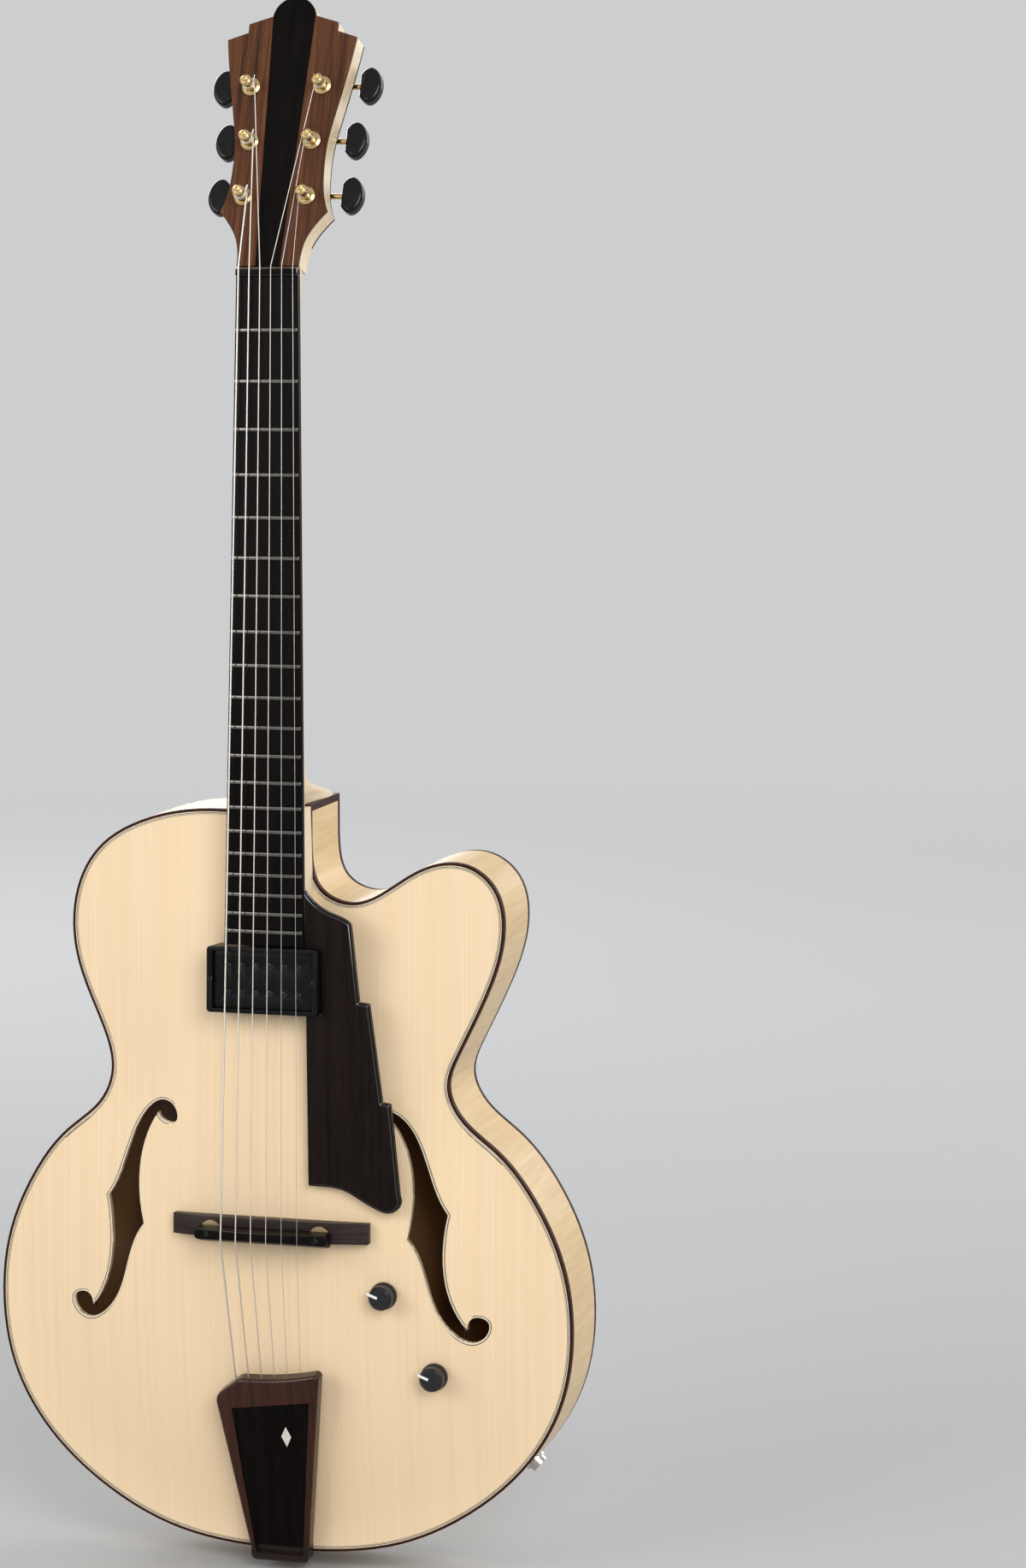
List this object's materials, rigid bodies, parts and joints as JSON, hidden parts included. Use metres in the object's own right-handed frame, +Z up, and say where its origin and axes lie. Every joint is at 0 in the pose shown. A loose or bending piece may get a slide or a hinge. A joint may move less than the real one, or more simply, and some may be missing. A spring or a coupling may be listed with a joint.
{
  "type": "archtop guitar",
  "caption": "Hollow archtop guitar with a single cutaway, f-shaped sound holes, floating bridge, wooden tailpiece, neck pickup and geared tuning machines.",
  "frame": {"origin": "on the centre line at the nut's front edge, in the plane of the body's front edge, where a wall hanger's yoke takes the neck", "axes": "+Z up along the neck, +X to the treble side, the front faces -Y"},
  "size_m": [0.411, 0.131, 1.0673],
  "materials": {
    "spruce_top": "thin gloss lacquer",
    "maple_body": "gloss lacquer",
    "maple_neck": "gloss lacquer",
    "inner_wood": "bare",
    "wood_binding": "gloss lacquer",
    "ebony": "satin oiled",
    "rosewood": "satin lacquer",
    "dark_rosewood": "satin lacquer",
    "fret_metal": "polished",
    "gold_plate": "polished",
    "button_plastic": "satin",
    "black_plastic": "satin",
    "black_steel": "blackened",
    "nickel": "polished"
  },
  "bodies": {
    "guitar": {"top_plate": "spruce_top", "back_plate": "maple_body", "rim": "maple_body", "neck": "maple_neck", "end_blocks": "inner_wood", "linings": "inner_wood", "tone_bars": "inner_wood", "top_binding": "wood_binding", "back_binding": "wood_binding", "fingerboard": "ebony", "heel_plate": "ebony", "headplate_stripe": "ebony", "tailpiece_inlay": "ebony", "bridge_base": "ebony", "nut": "ebony", "headplate": "rosewood", "tailpiece": "rosewood", "headstock_backplate": "dark_rosewood", "pickguard": "dark_rosewood", "frets": "fret_metal", "plain_strings": "fret_metal", "wound_strings": "fret_metal", "truss_rod": "fret_metal", "tuner_housings": "gold_plate", "tuner_bushings": "gold_plate", "tuner_screws": "gold_plate", "bridge_studs": "gold_plate", "pickup_ring": "black_plastic", "output_jack": "nickel", "strap_button": "nickel", "tailpiece_screws": "nickel", "potentiometers": "nickel", "pickguard_bracket": "nickel"},
    "button_1": {"tuner_button_1": "button_plastic", "tuner_worm_1": "gold_plate"},
    "post_1": {"tuner_post_1": "gold_plate"},
    "button_2": {"tuner_button_2": "button_plastic", "tuner_worm_2": "gold_plate"},
    "post_2": {"tuner_post_2": "gold_plate"},
    "button_3": {"tuner_button_3": "button_plastic", "tuner_worm_3": "gold_plate"},
    "post_3": {"tuner_post_3": "gold_plate"},
    "button_4": {"tuner_button_4": "button_plastic", "tuner_worm_4": "gold_plate"},
    "post_4": {"tuner_post_4": "gold_plate"},
    "button_5": {"tuner_button_5": "button_plastic", "tuner_worm_5": "gold_plate"},
    "post_5": {"tuner_post_5": "gold_plate"},
    "button_6": {"tuner_button_6": "button_plastic", "tuner_worm_6": "gold_plate"},
    "post_6": {"tuner_post_6": "gold_plate"},
    "saddle": {"bridge_saddle": "ebony"},
    "wheel_bass": {"thumbwheel_bass": "gold_plate"},
    "wheel_treble": {"thumbwheel_treble": "gold_plate"},
    "pickup": {"pickup_cover": "black_plastic", "pickup_poles": "black_steel"},
    "screw_bass": {"pickup_screw_bass": "black_steel"},
    "screw_treble": {"pickup_screw_treble": "black_steel"},
    "volume": {"volume_knob": "black_plastic"},
    "tone": {"tone_knob": "black_plastic"}
  },
  "joints": [
    {"name": "button_1_turn", "type": "hinge", "parent": "guitar", "child": "button_1", "pos_m": [-0.022, 0.04237, 0.05206], "axis": [-1, 0, 0], "continuous": true},
    {"name": "post_1_turn", "type": "hinge", "parent": "guitar", "child": "post_1", "pos_m": [-0.022, 0.02121, 0.05141], "axis": [0, -0.937, 0.3494], "continuous": true},
    {"name": "button_2_turn", "type": "hinge", "parent": "guitar", "child": "button_2", "pos_m": [-0.0218, 0.056, 0.0886], "axis": [-1, 0, 0], "continuous": true},
    {"name": "post_2_turn", "type": "hinge", "parent": "guitar", "child": "post_2", "pos_m": [-0.0218, 0.03484, 0.08796], "axis": [0, -0.937, 0.3494], "continuous": true},
    {"name": "button_3_turn", "type": "hinge", "parent": "guitar", "child": "button_3", "pos_m": [-0.025, 0.06963, 0.12515], "axis": [-1, 0, 0], "continuous": true},
    {"name": "post_3_turn", "type": "hinge", "parent": "guitar", "child": "post_3", "pos_m": [-0.025, 0.04847, 0.1245], "axis": [0, -0.937, 0.3494], "continuous": true},
    {"name": "button_4_turn", "type": "hinge", "parent": "guitar", "child": "button_4", "pos_m": [0.025, 0.06963, 0.12515], "axis": [1, 0, 0], "continuous": true},
    {"name": "post_4_turn", "type": "hinge", "parent": "guitar", "child": "post_4", "pos_m": [0.025, 0.04847, 0.1245], "axis": [0, -0.937, 0.3494], "continuous": true},
    {"name": "button_5_turn", "type": "hinge", "parent": "guitar", "child": "button_5", "pos_m": [0.0218, 0.056, 0.0886], "axis": [1, 0, 0], "continuous": true},
    {"name": "post_5_turn", "type": "hinge", "parent": "guitar", "child": "post_5", "pos_m": [0.0218, 0.03484, 0.08796], "axis": [0, -0.937, 0.3494], "continuous": true},
    {"name": "button_6_turn", "type": "hinge", "parent": "guitar", "child": "button_6", "pos_m": [0.022, 0.04237, 0.05206], "axis": [1, 0, 0], "continuous": true},
    {"name": "post_6_turn", "type": "hinge", "parent": "guitar", "child": "post_6", "pos_m": [0.022, 0.02121, 0.05141], "axis": [0, -0.937, 0.3494], "continuous": true},
    {"name": "wheel_bass_turn", "type": "hinge", "parent": "saddle", "child": "wheel_bass", "pos_m": [-0.0387, -0.03247, -0.63921], "axis": [0, -0.9982, 0.0602], "range_deg": [-720, 0]},
    {"name": "wheel_treble_turn", "type": "hinge", "parent": "saddle", "child": "wheel_treble", "pos_m": [0.0387, -0.03247, -0.63921], "axis": [0, -0.9982, 0.0602], "range_deg": [-720, 0]},
    {"name": "saddle_lift", "type": "slide", "parent": "guitar", "child": "saddle", "axis": [0, -0.9982, 0.0602], "range_m": [-0.0014, 0]},
    {"name": "screw_bass_turn", "type": "hinge", "parent": "guitar", "child": "screw_bass", "pos_m": [-0.0365, -0.02816, -0.46704], "axis": [0, -0.9982, 0.0602], "range_deg": [-1800, 0]},
    {"name": "screw_treble_turn", "type": "hinge", "parent": "guitar", "child": "screw_treble", "pos_m": [0.0365, -0.02816, -0.46704], "axis": [0, -0.9982, 0.0602], "range_deg": [-1800, 0]},
    {"name": "pickup_lift", "type": "slide", "parent": "guitar", "child": "pickup", "axis": [0, -0.9982, 0.0602], "range_m": [-0.002, 0]},
    {"name": "volume_turn", "type": "hinge", "parent": "guitar", "child": "volume", "pos_m": [0.07891, -0.01685, -0.68026], "axis": [0, -1, 0], "range_deg": [-240, 60]},
    {"name": "tone_turn", "type": "hinge", "parent": "guitar", "child": "tone", "pos_m": [0.11282, -0.01261, -0.73505], "axis": [0, -1, 0], "range_deg": [-240, 60]}
  ],
  "couplings": [
    {"joint": "post_1_turn", "follows": "button_1_turn", "ratio": 0.071429},
    {"joint": "post_2_turn", "follows": "button_2_turn", "ratio": 0.071429},
    {"joint": "post_3_turn", "follows": "button_3_turn", "ratio": 0.071429},
    {"joint": "post_4_turn", "follows": "button_4_turn", "ratio": -0.071429},
    {"joint": "post_5_turn", "follows": "button_5_turn", "ratio": -0.071429},
    {"joint": "post_6_turn", "follows": "button_6_turn", "ratio": -0.071429},
    {"joint": "wheel_bass_turn", "follows": "saddle_lift", "rad_per_m": 8976},
    {"joint": "wheel_treble_turn", "follows": "saddle_lift", "rad_per_m": 8976},
    {"joint": "screw_bass_turn", "follows": "pickup_lift", "rad_per_m": 15708},
    {"joint": "screw_treble_turn", "follows": "pickup_lift", "rad_per_m": 15708}
  ]
}
